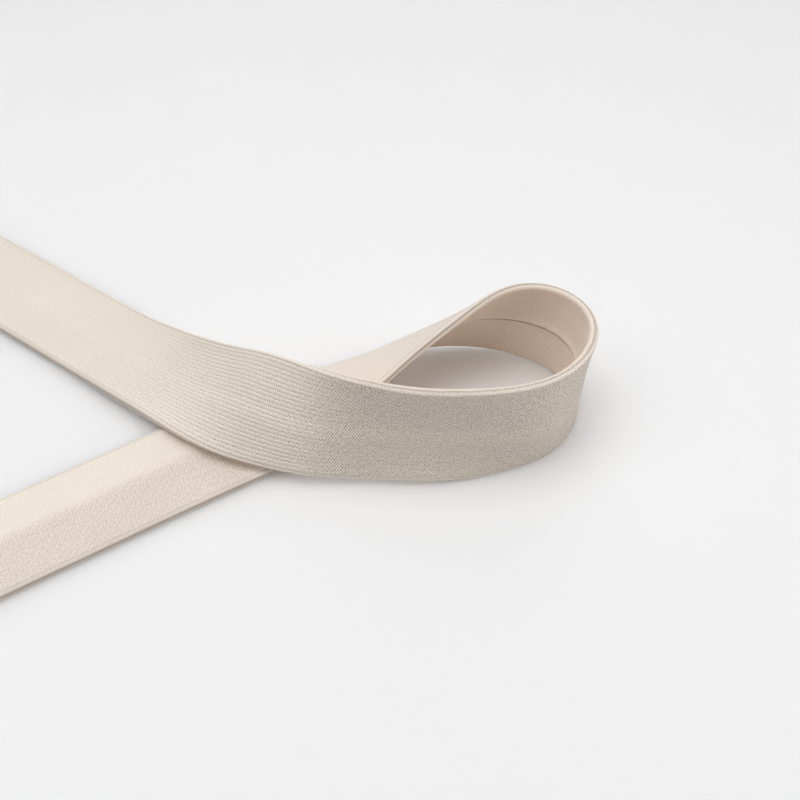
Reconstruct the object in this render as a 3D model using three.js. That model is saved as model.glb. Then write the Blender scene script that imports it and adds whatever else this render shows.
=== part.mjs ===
// A length of jersey bias tape, lying in one standing loop. Millimetres, +Z up.
// The tape is one strip of single jersey. Both long edges are pressed in to the middle, so it is two
// layers thick, with the raw edges meeting on the back. The plain face is up on both tails and
// outside on the loop.
import * as THREE from "three";

// Sizes of the folded tape
const WIDTH = 20;
const THICKNESS = 1.4;
const CLOTH = 0.6;
const EDGE_GAP = 0.5;
const JERSEY_COLOUR = 0xd9ccbf;

// Steps of the surface: across the tape, round a fold, and along the tape
const FACE_STEPS = 6;
const FLAP_STEPS = 3;
const FOLD_STEPS = 4;
const FINE_STEP = 3.4;
const LONG_STEP = 8.5;

// Where the tape goes. Each row is one place along it, from cut end to cut end:
// x, y   plan position of the middle of the tape
// mid    height of the middle of its thickness there
// tilt   degrees by which its right-hand edge is raised, 0 lying flat and 90 standing on edge
// bow    how far the two edges fall back behind the middle of the face
const PLACES = [
  { place: "cut end, lower tail", x: -78.0, y: -43.0, mid: 0.7, tilt: 0, bow: 0.0 },
  { place: "lower tail", x: -56.0, y: -28.5, mid: 0.7, tilt: 0, bow: 0.0 },
  { place: "lower tail", x: -30.5, y: -12.0, mid: 0.7, tilt: 0, bow: 0.0 },
  { place: "under the crossing", x: -21.5, y: -7.0, mid: 1.5, tilt: 3, bow: 0.0 },
  { place: "near edge lifts", x: -13.5, y: -2.0, mid: 4.4, tilt: 20, bow: 0.5 },
  { place: "near edge lifts", x: -5.0, y: 3.5, mid: 7.6, tilt: 34, bow: 2.0 },
  { place: "leaning arch", x: 3.5, y: 8.0, mid: 9.4, tilt: 46, bow: 1.8 },
  { place: "leaning arch", x: 13.0, y: 12.0, mid: 10.6, tilt: 63, bow: 1.8 },
  { place: "back wall", x: 23.0, y: 12.0, mid: 10.3, tilt: 83, bow: 0.6 },
  { place: "far bend", x: 31.5, y: 6.5, mid: 10.0, tilt: 92, bow: -0.6 },
  { place: "right end", x: 33.0, y: -3.5, mid: 10.0, tilt: 96, bow: -0.6 },
  { place: "near bend", x: 29.0, y: -13.0, mid: 10.0, tilt: 93, bow: 0.6 },
  { place: "front wall", x: 19.5, y: -17.5, mid: 10.0, tilt: 90, bow: 0.3 },
  { place: "front wall", x: 9.5, y: -18.0, mid: 10.0, tilt: 83, bow: -1.3 },
  { place: "front wall", x: -0.5, y: -17.5, mid: 10.2, tilt: 80, bow: -1.6 },
  { place: "front wall", x: -10.5, y: -17.5, mid: 10.7, tilt: 73, bow: 0.0 },
  { place: "falls back", x: -20.5, y: -15.5, mid: 11.4, tilt: 55, bow: 1.3 },
  { place: "falls back", x: -29.0, y: -10.0, mid: 9.7, tilt: 39, bow: 1.0 },
  { place: "over the lower tail", x: -35.5, y: -3.5, mid: 5.6, tilt: 24, bow: -1.0 },
  { place: "over the lower tail", x: -43.0, y: 3.0, mid: 2.8, tilt: 12, bow: -1.4 },
  { place: "comes down", x: -51.0, y: 9.5, mid: 1.4, tilt: 4, bow: -0.7 },
  { place: "upper tail", x: -59.0, y: 16.0, mid: 0.7, tilt: 0, bow: 0.0 },
  { place: "upper tail", x: -75.0, y: 28.0, mid: 0.7, tilt: 0, bow: 0.0 },
  { place: "cut end, upper tail", x: -103.0, y: 49.0, mid: 0.7, tilt: 0, bow: 0.0 },
];
const COLUMNS = ["x", "y", "mid", "tilt", "bow"];
const EASE_REACH = 6;
const EASE_WEIGHTS = [1 / 9, 2 / 9, 3 / 9, 2 / 9, 1 / 9];

// Distance along the route to each place
const ALONG = [0];
for (let i = 1; i < PLACES.length; i++) {
  const [a, b] = [PLACES[i - 1], PLACES[i]];
  ALONG.push(ALONG[i - 1] + Math.hypot(b.x - a.x, b.y - a.y, b.mid - a.mid));
}
const LENGTH = ALONG[ALONG.length - 1];

// Slopes of a smooth line through a column that stays straight where its rows are in line
function columnSlopes(column) {
  const rises = [];
  for (let i = 1; i < PLACES.length; i++) {
    rises.push((PLACES[i][column] - PLACES[i - 1][column]) / (ALONG[i] - ALONG[i - 1]));
  }
  const last = rises.length - 1;
  const rise = (i) => rises[Math.min(Math.max(i, 0), last)];
  return PLACES.map((_, i) => {
    const before = Math.abs(rise(i - 1) - rise(i - 2));
    const after = Math.abs(rise(i + 1) - rise(i));
    if (before + after < 1e-9) return (rise(i - 1) + rise(i)) / 2;
    return (after * rise(i - 1) + before * rise(i)) / (before + after);
  });
}

const SLOPES = Object.fromEntries(COLUMNS.map((column) => [column, columnSlopes(column)]));

// One column's value on the line through its rows, at a distance along the tape
function lineAt(column, distance) {
  let i = 0;
  while (i < PLACES.length - 2 && distance > ALONG[i + 1]) i++;
  const span = ALONG[i + 1] - ALONG[i];
  const u = (distance - ALONG[i]) / span;
  const [start, end] = [PLACES[i][column], PLACES[i + 1][column]];
  const [leave, arrive] = [SLOPES[column][i] * span, SLOPES[column][i + 1] * span];
  return start * (1 + 2 * u) * (1 - u) ** 2 + end * u * u * (3 - 2 * u)
    + leave * u * (1 - u) ** 2 + arrive * u * u * (u - 1);
}

// The same line with its corners eased, as cloth bends: a weighted mean over a short reach each way
function valueAt(column, distance) {
  const reach = Math.min(EASE_REACH, distance, LENGTH - distance);
  return EASE_WEIGHTS.reduce((sum, weight, i) => {
    return sum + weight * lineAt(column, distance + reach * (i - 2) / 2);
  }, 0);
}

function middleAt(distance) {
  return new THREE.Vector3(valueAt("x", distance), valueAt("y", distance), valueAt("mid", distance));
}

// The middle of the tape at a distance, with the directions across it and out of its face
function stationAt(distance) {
  const reach = 0.5;
  const ahead = middleAt(Math.min(distance + reach, LENGTH));
  const along = ahead.sub(middleAt(Math.max(distance - reach, 0))).normalize();
  const right = new THREE.Vector3(along.y, -along.x, 0).normalize();
  const raised = new THREE.Vector3().crossVectors(right, along);
  const tilt = THREE.MathUtils.degToRad(valueAt("tilt", distance));
  const across = right.multiplyScalar(Math.cos(tilt)).addScaledVector(raised, Math.sin(tilt));
  const out = new THREE.Vector3().crossVectors(across, along);
  return { middle: middleAt(distance), across, out, bow: valueAt("bow", distance) };
}

// A point of the folded section: u across the tape, v out of the middle of its thickness
function pointOn(station, [u, v]) {
  const { middle, across, out, bow } = station;
  const part = u / (WIDTH / 2);
  const narrowing = 1 - (2 / 3) * (2 * bow / WIDTH) ** 2;
  const lean = 2 * bow * part / (WIDTH / 2);
  const normal = out.clone().multiplyScalar(narrowing).addScaledVector(across, lean).normalize();
  return middle.clone()
    .addScaledVector(across, u * narrowing)
    .addScaledVector(out, -bow * part * part)
    .addScaledVector(normal, v);
}

// Evenly spaced points of a straight stretch of the section, both ends included
function straight(fromU, toU, v, steps) {
  return Array.from({ length: steps + 1 }, (_, i) => [fromU + (toU - fromU) * i / steps, v]);
}

// The round of one fold, between the levels of its two layers, ends left out
function fold(side, radius, upwards) {
  const centre = WIDTH / 2 - THICKNESS / 2;
  const steps = radius > CLOTH ? FOLD_STEPS : 2;
  return Array.from({ length: steps - 1 }, (_, i) => {
    const turn = Math.PI * ((i + 1) / steps - 0.5) * (upwards ? 1 : -1);
    return [side * (centre + radius * Math.cos(turn)), radius * Math.sin(turn)];
  });
}

// The folded section, once round: the outside from raw edge to raw edge, then back along the inside
function foldedSection() {
  const outer = THICKNESS / 2;
  const inner = outer - CLOTH;
  const flat = WIDTH / 2 - outer;
  const raw = EDGE_GAP / 2;
  return [
    ...straight(raw, flat, -outer, FLAP_STEPS),
    ...fold(1, outer, true),
    ...straight(flat, -flat, outer, FACE_STEPS),
    ...fold(-1, outer, false),
    ...straight(-flat, -raw, -outer, FLAP_STEPS),
    ...straight(-raw, -flat, -inner, FLAP_STEPS),
    ...fold(-1, inner, true),
    ...straight(-flat, flat, inner, FACE_STEPS),
    ...fold(1, inner, false),
    ...straight(flat, raw, -inner, FLAP_STEPS),
  ];
}

// Distances of the stations: far apart on the straight tails, close together round the loop
function stationDistances() {
  const loopStart = ALONG[2];
  const loopEnd = ALONG[PLACES.length - 3];
  const spread = (from, to, step) => {
    const count = Math.ceil((to - from) / step);
    return Array.from({ length: count }, (_, i) => from + (to - from) * i / count);
  };
  return [
    ...spread(0, loopStart, LONG_STEP),
    ...spread(loopStart, loopEnd, FINE_STEP),
    ...spread(loopEnd, LENGTH, LONG_STEP),
    LENGTH,
  ];
}

// The tape as one closed solid: the section carried through the stations, with a flat cut at each end
function tapeGeometry() {
  const section = foldedSection();
  const rings = stationDistances().map((distance) => {
    const station = stationAt(distance);
    return section.map((point) => pointOn(station, point));
  });
  const size = section.length;
  const corners = rings.flat();
  const faces = [];
  for (let ring = 0; ring < rings.length - 1; ring++) {
    for (let i = 0; i < size; i++) {
      const next = (i + 1) % size;
      const [a, b] = [ring * size + i, ring * size + next];
      faces.push([a, a + size, b], [b, a + size, b + size]);
    }
  }
  const outline = section.map(([u, v]) => new THREE.Vector2(u, v));
  const end = (rings.length - 1) * size;
  for (const [a, b, c] of THREE.ShapeUtils.triangulateShape(outline, [])) {
    faces.push([a, b, c], [end + a, end + c, end + b]);
  }
  const geometry = new THREE.BufferGeometry().setFromPoints(corners);
  geometry.setIndex(faces.flat());
  return geometry;
}

// The part stands on z = 0, with the middle of its outline over the origin
const geometry = tapeGeometry();
geometry.computeBoundingBox();
const box = geometry.boundingBox;
geometry.translate(-(box.min.x + box.max.x) / 2, -(box.min.y + box.max.y) / 2, -box.min.z);
geometry.computeVertexNormals();

const jersey = new THREE.MeshStandardMaterial({ color: JERSEY_COLOUR, roughness: 0.9, metalness: 0 });
jersey.name = "jersey";
const tape = new THREE.Mesh(geometry, jersey);
tape.name = "tape";

const part = new THREE.Group();
part.add(tape);
export default part;
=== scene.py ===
"""Looks of a looped length of jersey bias tape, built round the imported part.

The tape is one strip of single jersey with both edges pressed in to its middle. It lies in one
standing loop with two flat crossed tails. All sizes of the tape are in millimetres until its mesh
is made, and metres after that.
"""

import logging
import math
from dataclasses import dataclass, field
from enum import Enum
from typing import ClassVar, NamedTuple

import bpy
import numpy as np
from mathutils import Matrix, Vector


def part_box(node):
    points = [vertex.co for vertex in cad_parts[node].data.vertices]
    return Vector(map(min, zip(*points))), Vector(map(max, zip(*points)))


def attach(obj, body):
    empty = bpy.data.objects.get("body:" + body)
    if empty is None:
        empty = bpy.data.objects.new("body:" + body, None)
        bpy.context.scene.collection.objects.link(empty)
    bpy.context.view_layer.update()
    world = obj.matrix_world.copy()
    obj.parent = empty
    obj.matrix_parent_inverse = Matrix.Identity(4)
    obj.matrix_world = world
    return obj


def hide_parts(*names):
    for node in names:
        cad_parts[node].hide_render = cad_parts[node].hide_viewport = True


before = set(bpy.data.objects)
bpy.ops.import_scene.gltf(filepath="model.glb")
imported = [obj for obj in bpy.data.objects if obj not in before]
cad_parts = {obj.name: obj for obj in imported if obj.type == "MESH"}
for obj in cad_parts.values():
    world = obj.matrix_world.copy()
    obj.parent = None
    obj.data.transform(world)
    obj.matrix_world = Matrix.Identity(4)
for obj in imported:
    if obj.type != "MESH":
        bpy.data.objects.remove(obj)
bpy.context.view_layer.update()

MM = 0.001

Pair = tuple[float, float]
Colour = tuple[float, float, float]

log = logging.getLogger("jersey_tape")


class Place(NamedTuple):
    """One place along the tape: its middle in plan, its height, its tilt and its bow."""

    x: float
    y: float
    mid: float
    tilt: float
    bow: float


# Where the tape goes, from cut end to cut end, as in the part's source. mid is the height of the
# middle of the thickness, tilt the degrees by which the right-hand edge is raised, and bow how far
# the two edges fall back behind the middle of the face.
PLACES: tuple[Place, ...] = (
    Place(-78.0, -43.0, 0.7, 0, 0.0),
    Place(-56.0, -28.5, 0.7, 0, 0.0),
    Place(-30.5, -12.0, 0.7, 0, 0.0),
    Place(-21.5, -7.0, 1.5, 3, 0.0),
    Place(-13.5, -2.0, 4.4, 20, 0.5),
    Place(-5.0, 3.5, 7.6, 34, 2.0),
    Place(3.5, 8.0, 9.4, 46, 1.8),
    Place(13.0, 12.0, 10.6, 63, 1.8),
    Place(23.0, 12.0, 10.3, 83, 0.6),
    Place(31.5, 6.5, 10.0, 92, -0.6),
    Place(33.0, -3.5, 10.0, 96, -0.6),
    Place(29.0, -13.0, 10.0, 93, 0.6),
    Place(19.5, -17.5, 10.0, 90, 0.3),
    Place(9.5, -18.0, 10.0, 83, -1.3),
    Place(-0.5, -17.5, 10.2, 80, -1.6),
    Place(-10.5, -17.5, 10.7, 73, 0.0),
    Place(-20.5, -15.5, 11.4, 55, 1.3),
    Place(-29.0, -10.0, 9.7, 39, 1.0),
    Place(-35.5, -3.5, 5.6, 24, -1.0),
    Place(-43.0, 3.0, 2.8, 12, -1.4),
    Place(-51.0, 9.5, 1.4, 4, -0.7),
    Place(-59.0, 16.0, 0.7, 0, 0.0),
    Place(-75.0, 28.0, 0.7, 0, 0.0),
    Place(-103.0, 49.0, 0.7, 0, 0.0),
)


def unit(vectors: np.ndarray) -> np.ndarray:
    """Returns the vectors at length one."""
    return vectors / np.linalg.norm(vectors, axis=-1, keepdims=True)


def bell(off: np.ndarray, reach: float, power: int = 2) -> np.ndarray:
    """Returns a smooth bump, 1 where off is 0 and close to 0 well past the reach."""
    return np.exp(-((off / reach) ** power))


class Span(NamedTuple):
    """A stretch of the tape that something fades into and out of, in millimetres along the tape."""

    start: float
    full: float
    fading: float
    end: float

    def share(self, distance: np.ndarray) -> np.ndarray:
        """Returns 1 along the middle of the stretch and 0 outside it, as a column."""
        return np.interp(distance, self, (0.0, 1.0, 1.0, 0.0))[:, None]


class Stations(NamedTuple):
    """Places along the tape as arrays: distances, middles, directions and bows."""

    distance: np.ndarray
    middle: np.ndarray
    across: np.ndarray
    out: np.ndarray
    bow: np.ndarray


@dataclass
class Route:
    """The line that the middle of the tape follows, with the tape's tilt and bow along it."""

    places: tuple[Place, ...] = PLACES
    ease_reach: float = 6.0
    ease_weights: tuple[float, ...] = (1 / 9, 2 / 9, 3 / 9, 2 / 9, 1 / 9)
    aim_reach: float = 0.5
    columns: np.ndarray = field(init=False)
    along: np.ndarray = field(init=False)
    slopes: np.ndarray = field(init=False)

    def __post_init__(self) -> None:
        """Works out the distance to each place, and each column's slope there."""
        self.columns = np.array(self.places, dtype=float)
        steps = np.linalg.norm(np.diff(self.columns[:, :3], axis=0), axis=1)
        self.along = np.concatenate([[0.0], np.cumsum(steps)])
        rises = np.diff(self.columns, axis=0) / steps[:, None]
        first, last = rises[:1], rises[-1:]
        padded = np.concatenate([first, first, rises, last, last])
        before = np.abs(padded[1:-2] - padded[:-3])
        after = np.abs(padded[3:] - padded[2:-1])
        total = before + after
        straight = total < 1e-9
        weighed = (after * padded[1:-2] + before * padded[2:-1]) / np.where(straight, 1.0, total)
        self.slopes = np.where(straight, (padded[1:-2] + padded[2:-1]) / 2, weighed)

    @property
    def length(self) -> float:
        """Length of the tape along its middle."""
        return float(self.along[-1])

    def line_at(self, distance: np.ndarray) -> np.ndarray:
        """All columns on the smooth line through their rows.

        Args:
            distance: distances along the tape.

        Returns:
            One row of x, y, mid, tilt and bow for each distance.
        """
        row = np.clip(np.searchsorted(self.along, distance, side="left") - 1, 0, len(self.along) - 2)
        span = (self.along[row + 1] - self.along[row])[:, None]
        part = (distance - self.along[row])[:, None] / span
        rest = 1 - part
        return (
            self.columns[row] * (1 + 2 * part) * rest**2
            + self.columns[row + 1] * part**2 * (3 - 2 * part)
            + self.slopes[row] * span * part * rest**2
            - self.slopes[row + 1] * span * part**2 * rest
        )

    def value_at(self, distance: np.ndarray) -> np.ndarray:
        """The same line with its corners eased, as cloth bends.

        Args:
            distance: distances along the tape.

        Returns:
            One row of x, y, mid, tilt and bow for each distance.
        """
        reach = np.minimum(self.ease_reach, np.minimum(distance, self.length - distance))
        total = np.zeros((len(distance), self.columns.shape[1]))
        for step, weight in enumerate(self.ease_weights):
            total += weight * self.line_at(distance + reach * (step - 2) / 2)
        return total

    def stations(self, distance: np.ndarray) -> Stations:
        """The tape's middle, directions and bow at the distances.

        Args:
            distance: distances along the tape.

        Returns:
            The stations, with across and out of length one.
        """
        here = self.value_at(distance)
        ahead = self.value_at(np.minimum(distance + self.aim_reach, self.length))
        behind = self.value_at(np.maximum(distance - self.aim_reach, 0.0))
        along = unit(ahead[:, :3] - behind[:, :3])
        right = unit(np.stack([along[:, 1], -along[:, 0], np.zeros(len(along))], axis=1))
        raised = np.cross(right, along)
        tilt = np.radians(here[:, 3])[:, None]
        across = right * np.cos(tilt) + raised * np.sin(tilt)
        out = np.cross(across, along)
        return Stations(distance, here[:, :3], across, out, here[:, 4])


class Stretch(Enum):
    """The stretches of the outside of the folded section, in order round it."""

    RIGHT_FLAP = "right flap"
    RIGHT_FOLD = "right fold"
    FACE = "face"
    LEFT_FOLD = "left fold"
    LEFT_FLAP = "left flap"


class Contour(NamedTuple):
    """A line of section points: place (u, v), outward direction and count of wales passed."""

    place: np.ndarray
    outward: np.ndarray
    wale: np.ndarray


@dataclass
class FoldedSection:
    """The section of the folded tape, u across it and v out of the middle of its thickness."""

    width: float = 20.0
    thickness: float = 1.4
    cloth: float = 0.6
    edge_gap: float = 0.42
    face_wales: int = 25
    flap_wales: int = 12
    fold_wales: int = 4
    samples: int = 5
    inside_step: float = 1.4

    @property
    def outer(self) -> float:
        """Half the thickness, which is also the radius of the folds."""
        return self.thickness / 2

    @property
    def inner(self) -> float:
        """Half the space between the two layers."""
        return self.outer - self.cloth

    @property
    def flat(self) -> float:
        """Half the width of the flat part of the face."""
        return self.width / 2 - self.outer

    @property
    def face_centre(self) -> float:
        """The wale count at the middle of the face."""
        return self.flap_wales + self.fold_wales + self.face_wales / 2

    def stretch(self, name: Stretch, part: np.ndarray) -> tuple[np.ndarray, np.ndarray]:
        """Points of one stretch of the outside.

        Args:
            name: which stretch.
            part: how far along the stretch, from 0 to 1.

        Returns:
            The places and the outward directions.
        """
        raw = self.edge_gap / 2
        still = np.zeros_like(part)
        if name in (Stretch.RIGHT_FOLD, Stretch.LEFT_FOLD):
            side, turn = (1, part - 0.5) if name is Stretch.RIGHT_FOLD else (-1, 0.5 - part)
            angle = math.pi * turn
            outward = np.stack([side * np.cos(angle), np.sin(angle)], axis=1)
            return np.array([side * self.flat, 0.0]) + self.outer * outward, outward
        if name is Stretch.FACE:
            u, v = self.flat * (1 - 2 * part), self.outer
        elif name is Stretch.RIGHT_FLAP:
            u, v = raw + (self.flat - raw) * part, -self.outer
        else:
            u, v = -self.flat + (self.flat - raw) * part, -self.outer
        place = np.stack([u, still + v], axis=1)
        return place, np.stack([still, still + math.copysign(1.0, v)], axis=1)

    def outside(self) -> Contour:
        """The outside, from the right flap's raw edge round to the left flap's."""
        counts = {
            Stretch.RIGHT_FLAP: self.flap_wales,
            Stretch.RIGHT_FOLD: self.fold_wales,
            Stretch.FACE: self.face_wales,
            Stretch.LEFT_FOLD: self.fold_wales,
            Stretch.LEFT_FLAP: self.flap_wales,
        }
        places, outwards, wales = [], [], []
        passed = 0
        for name, count in counts.items():
            ends = 1 if name is Stretch.LEFT_FLAP else 0
            part = np.arange(count * self.samples + ends) / (count * self.samples)
            place, outward = self.stretch(name, part)
            places.append(place)
            outwards.append(outward)
            wales.append(passed + part * count)
            passed += count
        return Contour(np.concatenate(places), np.concatenate(outwards), np.concatenate(wales))

    def inside(self) -> Contour:
        """The inside, from the left flap's raw edge back round to the right flap's."""
        raw = self.edge_gap / 2
        total = 2 * (self.flap_wales + self.fold_wales) + self.face_wales
        flap = np.linspace(-raw, -self.flat, round((self.flat - raw) / self.inside_step) + 1)
        face = np.linspace(-self.flat, self.flat, round(2 * self.flat / self.inside_step) + 1)
        level = self.inner
        rows = [(u, -level, 0.0, 1.0) for u in flap]
        rows.append((-self.flat - level, 0.0, 1.0, 0.0))
        rows += [(u, level, 0.0, -1.0) for u in face]
        rows.append((self.flat + level, 0.0, -1.0, 0.0))
        rows += [(-u, -level, 0.0, 1.0) for u in flap[::-1]]
        table = np.array(rows)
        wale = np.linspace(total, 0.0, len(table))
        return Contour(table[:, :2], table[:, 2:], wale)


@dataclass
class JerseyTape:
    """The folded and looped tape: one sheet of jersey, its ribs standing out of the cloth."""

    name: str = "jersey_tape"
    node: str = "tape"
    route: Route = field(default_factory=Route)
    section: FoldedSection = field(default_factory=FoldedSection)
    loop_step: float = 1.1
    tail_step: float = 2.6
    loop_rows: tuple[int, int] = (2, -3)
    rib_height: float = 0.04
    flap_rib_height: float = 0.02
    rib_crown: float = 0.7
    rib_level: float = 0.6
    ribbed: Span = Span(184.0, 198.0, 214.0, 240.0)
    ribbed_gain: float = 0.8
    bead_height: float = 0.11
    bead_crown: float = 0.8
    bead_level: float = 0.3
    edge_swell: float = 0.14
    edge_swell_reach: float = 1.5
    crease_depth: float = 0.05
    crease_reach: float = 0.4
    edge_ridge: float = 0.14
    edge_ridge_place: float = 0.5
    edge_ridge_reach: float = 0.9
    curled: Span = Span(75.0, 92.0, 165.0, 180.0)
    curled_gain: float = 1.3
    imprint_height: float = 0.10
    imprint_centre: float = -1.1
    imprint_reach: float = 1.5
    wander: float = 0.10
    waver: tuple[tuple[float, float], ...] = ((5.3, 1.0), (8.9, 4.0), (3.1, 0.0))
    sharp_angle: float = 55.0

    def distances(self) -> np.ndarray:
        """Distances of the stations, closer together round the loop."""
        start = self.route.along[self.loop_rows[0]]
        end = self.route.along[self.loop_rows[1]]
        length = self.route.length
        return np.concatenate([
            np.linspace(0.0, start, round(start / self.tail_step), endpoint=False),
            np.linspace(start, end, round((end - start) / self.loop_step), endpoint=False),
            np.linspace(end, length, round((length - end) / self.tail_step) + 1),
        ])

    def relief(self, contour: Contour, distance: np.ndarray) -> np.ndarray:
        """How far the cloth stands out of its plain section, at every station and section point.

        Args:
            contour: the outside of the section.
            distance: distances of the stations.

        Returns:
            Heights, one row a station.
        """
        section = self.section
        wale = contour.wale[None, :]
        u = contour.place[None, :, 0]
        behind = contour.place[None, :, 1] < 0
        past_face = np.abs(wale - section.face_centre) - section.face_wales / 2
        past_fold = past_face - section.fold_wales
        on_fold = (past_face > 0) & (past_face < section.fold_wales)

        crown = np.abs(np.sin(np.pi * wale)) ** self.rib_crown - self.rib_level
        crown = crown * (1 + self.ribbed_gain * self.ribbed.share(distance))
        turn = 2 * np.pi * past_face / section.fold_wales
        bead = np.abs(np.sin(turn)) ** self.bead_crown - self.bead_level
        rib = np.where(behind, self.flap_rib_height, self.rib_height) * crown
        height = np.where(on_fold, self.bead_height * bead, rib)
        height = height - self.crease_depth * bell(past_face, self.crease_reach)

        off_edge = np.minimum(np.abs(past_face), np.abs(past_fold))
        facing = np.where(on_fold, np.abs(contour.outward[None, :, 1]), 1.0)
        height = height + self.edge_swell * bell(off_edge, self.edge_swell_reach) * facing
        imprint = self.imprint_height * bell(u - self.imprint_centre, self.imprint_reach, 4)
        height = height + np.where(behind, 0.0, imprint)

        off_ridge = np.abs(u) - section.edge_gap / 2 - self.edge_ridge_place
        curl = self.edge_ridge * bell(off_ridge, self.edge_ridge_reach)
        upper = np.where(u > 0, 1 + self.curled_gain * self.curled.share(distance), 1.0)
        height = height + np.where(behind & (np.abs(u) < section.flat), curl * upper, 0.0)
        waver = sum(np.sin(distance / period + start) for period, start in self.waver)[:, None]
        return height * (1 + self.wander * waver / len(self.waver))

    def points(self, stations: Stations, contour: Contour, height: np.ndarray) -> np.ndarray:
        """Section points carried to the stations.

        Args:
            stations: where the section stands.
            contour: the section's points.
            height: how far each point stands out, one row a station.

        Returns:
            Places in millimetres, by station and section point.
        """
        half = self.section.width / 2
        moved = contour.place[None, :, :] + height[:, :, None] * contour.outward[None, :, :]
        u, v = moved[..., 0], moved[..., 1]
        bow = stations.bow[:, None]
        part = u / half
        narrowing = 1 - (2 / 3) * (bow / half) ** 2
        across, out = stations.across[:, None, :], stations.out[:, None, :]
        normal = unit(out * narrowing[..., None] + across * (2 * bow * part / half)[..., None])
        return (
            stations.middle[:, None, :]
            + across * (u * narrowing)[..., None]
            - out * (bow * part**2)[..., None]
            + normal * v[..., None]
        )

    def place_in_part(self, points: np.ndarray, plain: np.ndarray) -> np.ndarray:
        """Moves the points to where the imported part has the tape, in metres.

        Args:
            points: places in millimetres, before they are moved.
            plain: the same places without the relief, which the part's box goes by.

        Returns:
            Places in metres, none of them under the surface that the tape lies on.
        """
        low, high = (np.array(corner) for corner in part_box(self.node))
        centre = (plain.reshape(-1, 3).min(axis=0) + plain.reshape(-1, 3).max(axis=0)) / 2
        shift = (low + high) / 2 - centre * MM
        shift[2] = low[2] - plain[..., 2].min() * MM
        moved = points * MM + shift
        moved[..., 2] = np.maximum(moved[..., 2], 0.0)
        return moved

    def build(self) -> bpy.types.Object:
        """Makes the tape's mesh, with the pattern's map on it.

        Returns:
            The finished object, at the origin.
        """
        outside, inside = self.section.outside(), self.section.inside()
        stations = self.route.stations(self.distances())
        relief = self.relief(outside, stations.distance)
        still = np.zeros((len(stations.distance), len(inside.wale)))
        points = np.concatenate(
            [self.points(stations, outside, relief), self.points(stations, inside, still)], axis=1
        )
        plain = self.points(stations, outside, np.zeros_like(relief))
        wale = np.concatenate([outside.wale, inside.wale])
        rings, size = points.shape[:2]
        places = self.place_in_part(points, plain).reshape(-1, 3)

        ring = np.arange(rings - 1)[:, None] * size
        here = np.arange(size)[None, :]
        after = (here + 1) % size
        quads = np.stack([ring + here, ring + size + here, ring + size + after, ring + after], axis=-1)
        faces = [tuple(quad) for quad in quads.reshape(-1, 4).tolist()]
        faces.append(tuple(range(size)))
        faces.append(tuple(range(rings * size - 1, (rings - 1) * size - 1, -1)))

        mesh = bpy.data.meshes.new(self.name)
        mesh.from_pydata(places.tolist(), [], faces)
        self.map_pattern(mesh, np.repeat(stations.distance, size), np.tile(wale, rings))
        mesh.shade_smooth()
        mesh.set_sharp_from_angle(angle=math.radians(self.sharp_angle))
        mesh.validate()
        tape = bpy.data.objects.new(self.name, mesh)
        bpy.context.collection.objects.link(tape)
        log.info("%s: %d faces, %.1f mm long", self.name, len(faces), self.route.length)
        return tape

    def map_pattern(self, mesh: bpy.types.Mesh, distance: np.ndarray, wale: np.ndarray) -> None:
        """Gives the mesh its map: millimetres along the tape, and wales counted round it.

        Args:
            mesh: the tape's mesh.
            distance: the distance of each vertex along the tape.
            wale: the wale count of each vertex.
        """
        layer = mesh.uv_layers.new(name=JerseyFinish.map_name)
        vertex = np.empty(len(mesh.loops), dtype=np.int32)
        mesh.loops.foreach_get("vertex_index", vertex)
        layer.data.foreach_set("uv", np.stack([distance[vertex], wale[vertex]], axis=1).ravel())

    def dress(self, tape: bpy.types.Object, material: bpy.types.Material) -> None:
        """Gives the tape its finish and says what it stands for.

        Args:
            tape: the finished object.
            material: the jersey.
        """
        tape.data.materials.append(material)
        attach(tape, "root")
        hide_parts(self.node)


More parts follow.
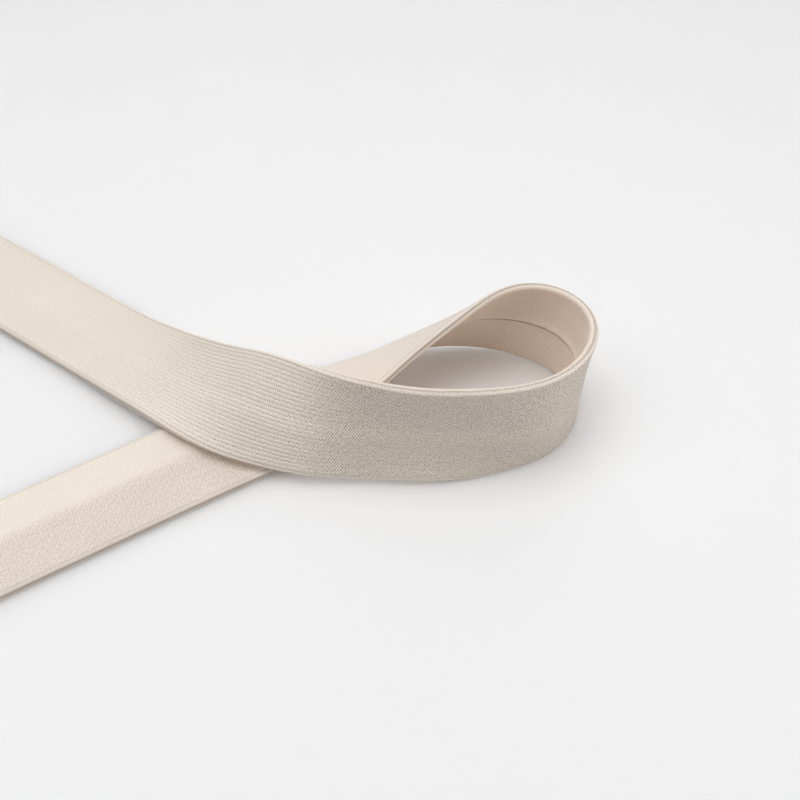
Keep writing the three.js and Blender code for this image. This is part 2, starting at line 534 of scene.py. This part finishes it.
class Nodes:
    """A short way to write the nodes of a material or of the world."""

    def __init__(self, owner: bpy.types.ID) -> None:
        """Starts on the owner's own node tree."""
        self.tree = owner.node_tree
        self.tree.nodes.clear()

    def add(self, kind: str, label: str = "", **settings: object) -> bpy.types.Node:
        """Adds a node.

        Args:
            kind: the node's type.
            label: what it does, in words.
            settings: attributes to set on it.

        Returns:
            The new node.
        """
        node = self.tree.nodes.new(kind)
        node.label = label
        for name, value in settings.items():
            setattr(node, name, value)
        return node

    def feed(self, socket: bpy.types.NodeSocket, value: object) -> None:
        """Links a socket to the input, or sets the input to a plain value."""
        if isinstance(value, bpy.types.NodeSocket):
            self.tree.links.new(value, socket)
        else:
            socket.default_value = value

    def math(self, operation: str, first: object, second: object = 0.0) -> bpy.types.NodeSocket:
        """Adds one sum of two values.

        Args:
            operation: what is done with them.
            first: a socket or a number.
            second: a socket or a number.

        Returns:
            The result's socket.
        """
        node = self.add("ShaderNodeMath", operation=operation)
        self.feed(node.inputs[0], first)
        self.feed(node.inputs[1], second)
        return node.outputs[0]

    def wave(self, turns: object, height: float) -> bpy.types.NodeSocket:
        """Adds a cosine wave of the height, one period for each whole turn."""
        angle = self.math("MULTIPLY", turns, 2 * math.pi)
        return self.math("MULTIPLY", self.math("COSINE", angle), height)

    def ramp(self, value: object, low: float, high: float, at_low: float, at_high: float) -> object:
        """Maps a value smoothly from one range to another.

        Args:
            value: the socket to read.
            low: where the range starts.
            high: where it ends.
            at_low: the result up to its start.
            at_high: the result past its end.

        Returns:
            The result's socket.
        """
        node = self.add("ShaderNodeMapRange", interpolation_type="SMOOTHSTEP")
        for index, given in enumerate((value, low, high, at_low, at_high)):
            self.feed(node.inputs[index], given)
        return node.outputs[0]

    def mix(self, amount: object, first: object, second: object) -> bpy.types.NodeSocket:
        """Blends two colours by an amount.

        Args:
            amount: 0 for the first and 1 for the second.
            first: a socket or a colour.
            second: a socket or a colour.

        Returns:
            The blended colour's socket.
        """
        node = self.add("ShaderNodeMix", data_type="RGBA")
        self.feed(node.inputs["Factor"], amount)
        self.feed(node.inputs[6], first)
        self.feed(node.inputs[7], second)
        return node.outputs[2]


class ClothPlace(NamedTuple):
    """Sockets that say where a point lies on the cloth.

    along is in millimetres from the lower tail's cut end, wale counts the wales round the tape,
    off_face counts them from the middle of the face, and the last two go from 0 to 1.
    """

    along: bpy.types.NodeSocket
    wale: bpy.types.NodeSocket
    off_face: bpy.types.NodeSocket
    on_flap: bpy.types.NodeSocket
    near_tail: bpy.types.NodeSocket


@dataclass(frozen=True)
class JerseyFinish:
    """Fine single jersey: rows of small slanted stitches in a pale warm beige yarn.

    The pairs named start and end are places along the tape between which something fades.
    """

    map_name: ClassVar[str] = "stitch_map"

    # Colours of the yarn on the face, behind, on the pressed ridge, at a raw edge and in the gaps.
    yarn: Colour = (0.905, 0.822, 0.735)
    # Behind, on the flaps that face the inside of the loop, the yarn is warmed as painted warm bounce
    # light.
    flap_bounce_yarn: Colour = (0.97, 0.82, 0.70)
    imprint: Colour = (0.96, 0.872, 0.77)
    # At a raw edge the yarn is lighter, a painted highlight where the curled edge catches the light.
    raw_edge_highlight: Colour = (1.0, 0.86, 0.74)
    # The colour in the gaps between stitches is painted shade.
    gap_shade: Colour = (0.375, 0.304, 0.245)
    base: float = 0.88

    # The stitches: the length of a course, and how much each pattern lightens and darkens them. The
    # darkening is partly painted shade in the gaps between stitches, and the stronger slanted rows are
    # partly painted light on the stitch legs that face the light.
    course: float = 0.48
    knit_shade: float = 0.12
    diagonal: float = 0.50
    counter: float = 0.36
    grain: float = 1.05
    grain_scale: float = 1.4
    fold_knit: float = 0.4
    flap_knit: float = 0.3

    # Where the tape is pressed smooth, and how much fainter the stitches are there.
    smooth_start: Pair = (100.0, 116.0)
    smooth_end: Pair = (205.0, 245.0)
    smooth_share: float = 0.84
    near_smooth: float = 0.78

    # The ribs that show where the tape comes down over the lower tail: painted shade in the valleys
    # between them, and painted light that lifts this stretch.
    ribbed_start: Pair = (184.0, 202.0)
    ribbed_end: Pair = (210.0, 245.0)
    ribbed_knit: float = 0.5
    ribbed_light: float = 0.24
    valley_shade: float = 0.34
    valley_reach: Pair = (0.22, 0.5)

    # Fine dark lines of painted shade, in wales past the face: between the beads of a fold, and beside
    # the face.
    groove: float = 0.55
    groove_place: float = 1.8
    groove_reach: float = 0.75
    crease: float = 0.22
    crease_place: float = 0.15
    crease_reach: float = 0.45
    line_core: float = 0.05

    # Painted shade: the darker near half of the lower tail, and the darker upper tail.
    shaded_tail: Pair = (52.0, 66.0)
    shaded_wales: Pair = (27.5, 32.5)
    tail_shade: float = 0.20
    end_shade: float = 0.12

    # The pale band over the flaps' meeting line, in wales, and how strong it is at each end.
    imprint_centre: float = 1.5
    imprint_core: float = 0.8
    imprint_reach: float = 3.2
    imprint_start: Pair = (100.0, 150.0)
    imprint_end: Pair = (185.0, 230.0)
    imprint_first: float = 0.25
    imprint_last: float = 0.15

    # How far past the face the fold and the flap begin, and how wide a raw edge is, in wales.
    fold_start: Pair = (-0.3, 0.3)
    flap_start: Pair = (2.0, 4.0)
    raw_edge_wales: Pair = (1.0, 2.2)

    patch_scale: float = 70.0
    patch_shade: float = 0.16
    roughness: float = 0.9
    specular: float = 0.2
    sheen: float = 0.6
    sheen_roughness: float = 0.4
    sheen_tint: Colour = (1.0, 0.92, 0.83)
    bump_height: float = 0.00010
    bump_strength: float = 0.6

    def make(self, section: FoldedSection) -> bpy.types.Material:
        """Makes the material.

        Args:
            section: the folded section that the cloth goes round.

        Returns:
            The jersey, which follows the tape's own map.
        """
        material = bpy.data.materials.new("jersey_knit")
        material.use_nodes = True
        nodes = Nodes(material)
        face_half = section.face_wales / 2
        place = self.find_place(nodes, section.face_centre, face_half)

        share = self.share_of_knit(nodes, place, face_half)
        shown = nodes.math("ADD", self.stitches(nodes, place, share), self.base)
        shown = nodes.math("SUBTRACT", shown, self.shade(nodes, place, share))
        shown = nodes.math("ADD", shown, self.unevenness(nodes))
        shown = nodes.math("SUBTRACT", shown, self.lines(nodes, place, face_half))
        yarn = self.yarn_colour(nodes, place, section.face_centre)
        colour = nodes.mix(shown, (*self.gap_shade, 1), yarn)

        bump = nodes.add("ShaderNodeBump", "stitches")
        bump.inputs["Strength"].default_value = self.bump_strength
        bump.inputs["Distance"].default_value = self.bump_height
        nodes.feed(bump.inputs["Height"], shown)

        shader = nodes.add("ShaderNodeBsdfPrincipled")
        nodes.feed(shader.inputs["Base Color"], colour)
        nodes.feed(shader.inputs["Normal"], bump.outputs[0])
        shader.inputs["Roughness"].default_value = self.roughness
        shader.inputs["Specular IOR Level"].default_value = self.specular
        shader.inputs["Sheen Weight"].default_value = self.sheen
        shader.inputs["Sheen Roughness"].default_value = self.sheen_roughness
        shader.inputs["Sheen Tint"].default_value = (*self.sheen_tint, 1)
        ending = nodes.add("ShaderNodeOutputMaterial")
        nodes.feed(ending.inputs["Surface"], shader.outputs[0])
        return material

    def off(self, nodes: Nodes, value: object, middle: float) -> bpy.types.NodeSocket:
        """Returns how far a value lies to either side of the middle given."""
        return nodes.math("ABSOLUTE", nodes.math("SUBTRACT", value, middle))

    def find_place(self, nodes: Nodes, face_centre: float, face_half: float) -> ClothPlace:
        """Reads where a point lies from the tape's map.

        Args:
            nodes: the material's nodes.
            face_centre: the wale count at the middle of the face.
            face_half: how many wales there are from there to the fold.

        Returns:
            The sockets that the patterns go by.
        """
        read = nodes.add("ShaderNodeUVMap", "place on the cloth", uv_map=self.map_name)
        parts = nodes.add("ShaderNodeSeparateXYZ")
        nodes.feed(parts.inputs[0], read.outputs[0])
        along, wale = parts.outputs[0], parts.outputs[1]
        off_face = self.off(nodes, wale, face_centre)
        begin, full = (face_half + wales for wales in self.flap_start)
        on_flap = nodes.ramp(off_face, begin, full, 0.0, 1.0)
        on_tail = nodes.ramp(along, *self.shaded_tail, 1.0, 0.0)
        near_half = nodes.ramp(wale, *self.shaded_wales, 1.0, 0.0)
        near_tail = nodes.math("MULTIPLY", on_tail, near_half)
        return ClothPlace(along, wale, off_face, on_flap, near_tail)

    def share_of_knit(
        self, nodes: Nodes, place: ClothPlace, face_half: float
    ) -> bpy.types.NodeSocket:
        """Adds how clearly the stitches show: fainter behind, on the folds and where pressed smooth.

        Args:
            nodes: the material's nodes.
            place: where the point lies on the cloth.
            face_half: how many wales there are from the middle of the face to the fold.

        Returns:
            The share, from 0 to 1.
        """
        start = nodes.math(
            "MULTIPLY",
            nodes.ramp(place.along, *self.smooth_start, self.smooth_share, 0.0),
            nodes.ramp(place.near_tail, 0.0, 1.0, 1.0, self.near_smooth),
        )
        end = nodes.ramp(place.along, *self.smooth_end, 0.0, self.smooth_share)
        unpressed = nodes.math("SUBTRACT", 1.0, nodes.math("ADD", start, end))
        begin, full = (face_half + wales for wales in self.fold_start)
        on_fold = nodes.ramp(place.off_face, begin, full, 1.0, self.fold_knit)
        behind = nodes.ramp(place.on_flap, 0.0, 1.0, 1.0, self.flap_knit / self.fold_knit)
        return nodes.math("MULTIPLY", unpressed, nodes.math("MULTIPLY", on_fold, behind))

    def stitches(self, nodes: Nodes, place: ClothPlace, share: object) -> bpy.types.NodeSocket:
        """Adds the slanted rows of stitches, partly painted shade and light, and the ribs where the
        tape comes down from the loop, with painted shade in their valleys and painted light over that
        stretch.

        Args:
            nodes: the material's nodes.
            place: where the point lies on the cloth.
            share: how clearly the stitches show.

        Returns:
            How much lighter or darker the stitches make each point.
        """
        rows = nodes.math("DIVIDE", place.along, self.course)
        slanted = nodes.wave(nodes.math("SUBTRACT", rows, place.wale), self.diagonal)
        crossing = nodes.wave(nodes.math("ADD", rows, place.wale), self.counter)
        grain = nodes.add("ShaderNodeTexNoise", "uneven stitches")
        stitch_place = nodes.add("ShaderNodeCombineXYZ")
        nodes.feed(stitch_place.inputs[0], rows)
        nodes.feed(stitch_place.inputs[1], place.wale)
        nodes.feed(grain.inputs["Vector"], stitch_place.outputs[0])
        nodes.feed(grain.inputs["Scale"], self.grain_scale)
        nodes.feed(grain.inputs["Detail"], 1.0)
        centred = nodes.math("SUBTRACT", grain.outputs[0], 0.5)
        speckle = nodes.math("MULTIPLY", centred, 2 * self.grain)
        stitch = nodes.math("ADD", nodes.math("ADD", slanted, crossing), speckle)

        ribbed = nodes.math(
            "MULTIPLY",
            nodes.ramp(place.along, *self.ribbed_start, 0.0, 1.0),
            nodes.ramp(place.along, *self.ribbed_end, 1.0, 0.0),
        )
        stitch = nodes.math("MULTIPLY", stitch, nodes.ramp(ribbed, 0.0, 1.0, 1.0, self.ribbed_knit))
        # Painted light lifts this stretch, and painted shade darkens the valleys between its ribs.
        off_rib = self.off(nodes, nodes.math("FRACT", place.wale), 0.5)
        darkest = self.valley_shade - self.ribbed_light
        valleys = nodes.ramp(off_rib, *self.valley_reach, -self.ribbed_light, darkest)
        stitch = nodes.math("MULTIPLY", stitch, share)
        return nodes.math("SUBTRACT", stitch, nodes.math("MULTIPLY", valleys, ribbed))

    def shade(self, nodes: Nodes, place: ClothPlace, share: object) -> bpy.types.NodeSocket:
        """Adds the painted shade: how much darker open stitches, the lower tail's near half and the
        upper tail are.

        Args:
            nodes: the material's nodes.
            place: where the point lies on the cloth.
            share: how clearly the stitches show.

        Returns:
            The sum of the three.
        """
        open_knit = nodes.math("MULTIPLY", share, self.knit_shade)
        lower = nodes.math("MULTIPLY", place.near_tail, self.tail_shade)
        upper = nodes.ramp(place.along, *self.smooth_end, 0.0, self.end_shade)
        return nodes.math("ADD", nodes.math("ADD", open_knit, lower), upper)

    def unevenness(self, nodes: Nodes) -> bpy.types.NodeSocket:
        """Adds soft patches of slightly lighter and darker yarn."""
        patches = nodes.add("ShaderNodeTexNoise", "uneven yarn")
        where = nodes.add("ShaderNodeTexCoord")
        nodes.feed(patches.inputs["Vector"], where.outputs["Object"])
        nodes.feed(patches.inputs["Scale"], self.patch_scale)
        nodes.feed(patches.inputs["Detail"], 3.0)
        centred = nodes.math("SUBTRACT", patches.outputs[0], 0.5)
        return nodes.math("MULTIPLY", centred, self.patch_shade)

    def lines(self, nodes: Nodes, place: ClothPlace, face_half: float) -> bpy.types.NodeSocket:
        """Adds the fine dark lines of painted shade between the two beads of each fold and beside the
        face.

        Args:
            nodes: the material's nodes.
            place: where the point lies on the cloth.
            face_half: how many wales there are from the middle of the face to the fold.

        Returns:
            How much darker the lines make each point.
        """
        off_groove = self.off(nodes, place.off_face, face_half + self.groove_place)
        off_crease = self.off(nodes, place.off_face, face_half + self.crease_place)
        return nodes.math(
            "ADD",
            nodes.ramp(off_groove, self.line_core, self.groove_reach, self.groove, 0.0),
            nodes.ramp(off_crease, self.line_core, self.crease_reach, self.crease, 0.0),
        )

    def yarn_colour(
        self, nodes: Nodes, place: ClothPlace, face_centre: float
    ) -> bpy.types.NodeSocket:
        """Adds the colour of the yarn, before the stitches darken it.

        Args:
            nodes: the material's nodes.
            place: where the point lies on the cloth.
            face_centre: the wale count at the middle of the face.

        Returns:
            The colour's socket.
        """
        off_imprint = self.off(nodes, place.wale, face_centre + self.imprint_centre)
        across = nodes.ramp(off_imprint, self.imprint_core, self.imprint_reach, 1.0, 0.0)
        pressed = nodes.ramp(place.along, *self.imprint_start, self.imprint_first, 1.0)
        fading = nodes.ramp(place.along, *self.imprint_end, 1.0, self.imprint_last)
        band = nodes.math("MULTIPLY", across, nodes.math("MULTIPLY", pressed, fading))
        on_raw_edge = nodes.ramp(place.wale, *self.raw_edge_wales, 1.0, 0.0)
        yarn = nodes.mix(band, (*self.yarn, 1), (*self.imprint, 1))
        # The flaps take the warmer yarn, which is painted warm bounce light.
        yarn = nodes.mix(place.on_flap, yarn, (*self.flap_bounce_yarn, 1))
        # The raw edge takes a painted highlight.
        return nodes.mix(on_raw_edge, yarn, (*self.raw_edge_highlight, 1))


@dataclass(frozen=True)
class FloorFinish:
    """Pale, smooth and slightly glossy studio board."""

    colour: Colour = (0.85, 0.85, 0.855)
    roughness: float = 0.10
    specular: float = 0.3
    glow_depth: float = 0.008

    def make(self) -> bpy.types.Material:
        """Returns the board's material."""
        material = bpy.data.materials.new("studio_board")
        material.use_nodes = True
        nodes = Nodes(material)
        shader = nodes.add("ShaderNodeBsdfPrincipled", subsurface_method="BURLEY")
        shader.inputs["Base Color"].default_value = (*self.colour, 1)
        shader.inputs["Subsurface Weight"].default_value = 1.0
        shader.inputs["Subsurface Radius"].default_value = (1.0, 1.0, 1.0)
        shader.inputs["Subsurface Scale"].default_value = self.glow_depth
        shader.inputs["Roughness"].default_value = self.roughness
        shader.inputs["Specular IOR Level"].default_value = self.specular
        ending = nodes.add("ShaderNodeOutputMaterial")
        nodes.feed(ending.inputs["Surface"], shader.outputs[0])
        return material


class Softbox(NamedTuple):
    """A soft light: the degrees it stands round from the front and up, and its strength."""

    name: str
    turn: float
    elevation: float
    strength: float


@dataclass
class Studio:
    """The plain floor, the soft lights and the camera."""

    floor_size: float = 6.0
    floor_level: float = -0.00002
    glow_low: Pair = (0.1, 0.52)
    glow_high: Pair = (0.7, 0.42)
    glow_reach: float = 0.3
    softbox_spread: float = 50.0
    softboxes: tuple[Softbox, ...] = (
        Softbox("right", 85.0, 30.0, 1.06),
        Softbox("back", 180.0, 30.0, 0.50),
        Softbox("left", 285.0, 55.0, 0.63),
    )
    overhead_size: float = 0.75
    overhead_place: tuple[float, float, float] = (0.02, 0.05, 0.82)
    overhead_watts: float = 3.6
    lens: float = 56.25
    sensor: float = 36.0
    target: Pair = (0.03694, -0.00284)
    distance: float = 0.23674
    elevation: float = 45.0

    def lay_floor(self) -> bpy.types.Object:
        """Lays the floor, which isn't part of the object."""
        bpy.ops.object.select_all(action="DESELECT")
        bpy.ops.mesh.primitive_plane_add(size=self.floor_size, location=(0, 0, self.floor_level))
        floor = bpy.context.object
        floor.name = "floor"
        floor.data.materials.append(FloorFinish().make())
        return floor

    def hang_tent(self) -> None:
        """Hangs a white tent round the set, with one glow near the floor and one higher up."""
        world = bpy.data.worlds.new("tent")
        world.use_nodes = True
        nodes = Nodes(world)
        where = nodes.add("ShaderNodeTexCoord")
        parts = nodes.add("ShaderNodeSeparateXYZ")
        nodes.feed(parts.inputs[0], where.outputs["Generated"])
        glows = []
        for height, strength in (self.glow_low, self.glow_high):
            off = nodes.math("ABSOLUTE", nodes.math("SUBTRACT", parts.outputs[2], height))
            glows.append(nodes.ramp(off, 0.0, self.glow_reach, strength, 0.0))
        background = nodes.add("ShaderNodeBackground")
        background.inputs["Color"].default_value = (1, 1, 1, 1)
        nodes.feed(background.inputs["Strength"], nodes.math("ADD", *glows))
        ending = nodes.add("ShaderNodeOutputWorld")
        nodes.feed(ending.inputs["Surface"], background.outputs[0])
        bpy.context.scene.world = world

    def hang_light(self, light: bpy.types.Light, place: Vector) -> None:
        """Hangs a light that shines on the set and doesn't show in the floor.

        Args:
            light: the light itself.
            place: where it hangs, and so the direction that it shines from.
        """
        lamp = bpy.data.objects.new(light.name, light)
        lamp.location = place
        lamp.rotation_mode = "QUATERNION"
        lamp.rotation_quaternion = (-place).to_track_quat("-Z", "Y")
        lamp.visible_glossy = False
        bpy.context.collection.objects.link(lamp)

    def hang_lights(self) -> None:
        """Hangs the tent, a large lamp overhead, and soft light from the sides and the back."""
        self.hang_tent()
        overhead = bpy.data.lights.new("overhead", "AREA")
        overhead.shape = "DISK"
        overhead.size = self.overhead_size
        overhead.energy = self.overhead_watts
        self.hang_light(overhead, Vector(self.overhead_place))
        for box in self.softboxes:
            softbox = bpy.data.lights.new(box.name, "SUN")
            softbox.angle = math.radians(self.softbox_spread)
            softbox.energy = box.strength
            turn, rise = math.radians(box.turn), math.radians(box.elevation)
            flat = math.cos(rise)
            place = Vector((math.sin(turn) * flat, -math.cos(turn) * flat, math.sin(rise)))
            self.hang_light(softbox, place)

    def set_camera(self) -> None:
        """Sets the camera at the photograph's angle."""
        lens = bpy.data.cameras.new("camera")
        lens.lens = self.lens
        lens.sensor_width = self.sensor
        lens.clip_start = 0.01
        camera = bpy.data.objects.new("camera", lens)
        angle = math.radians(self.elevation)
        back = Vector((0, -math.cos(angle), math.sin(angle)))
        camera.location = Vector((*self.target, 0)) + back * self.distance
        camera.rotation_mode = "QUATERNION"
        camera.rotation_quaternion = (-back).to_track_quat("-Z", "Y")
        bpy.context.collection.objects.link(camera)
        bpy.context.scene.camera = camera

    def set_picture(self) -> None:
        """Sets how light becomes colour in the picture."""
        view = bpy.context.scene.view_settings
        view.view_transform = "Standard"
        view.look = "None"
        view.exposure = 0.0
        view.gamma = 1.0


def main() -> None:
    """Builds the studio and the tape."""
    logging.basicConfig(level=logging.INFO, format="%(name)s: %(message)s")
    studio = Studio()
    studio.set_camera()
    studio.lay_floor()
    studio.hang_lights()
    studio.set_picture()
    builder = JerseyTape()
    tape = builder.build()
    builder.dress(tape, JerseyFinish().make(builder.section))


if __name__ == "__main__":
    main()
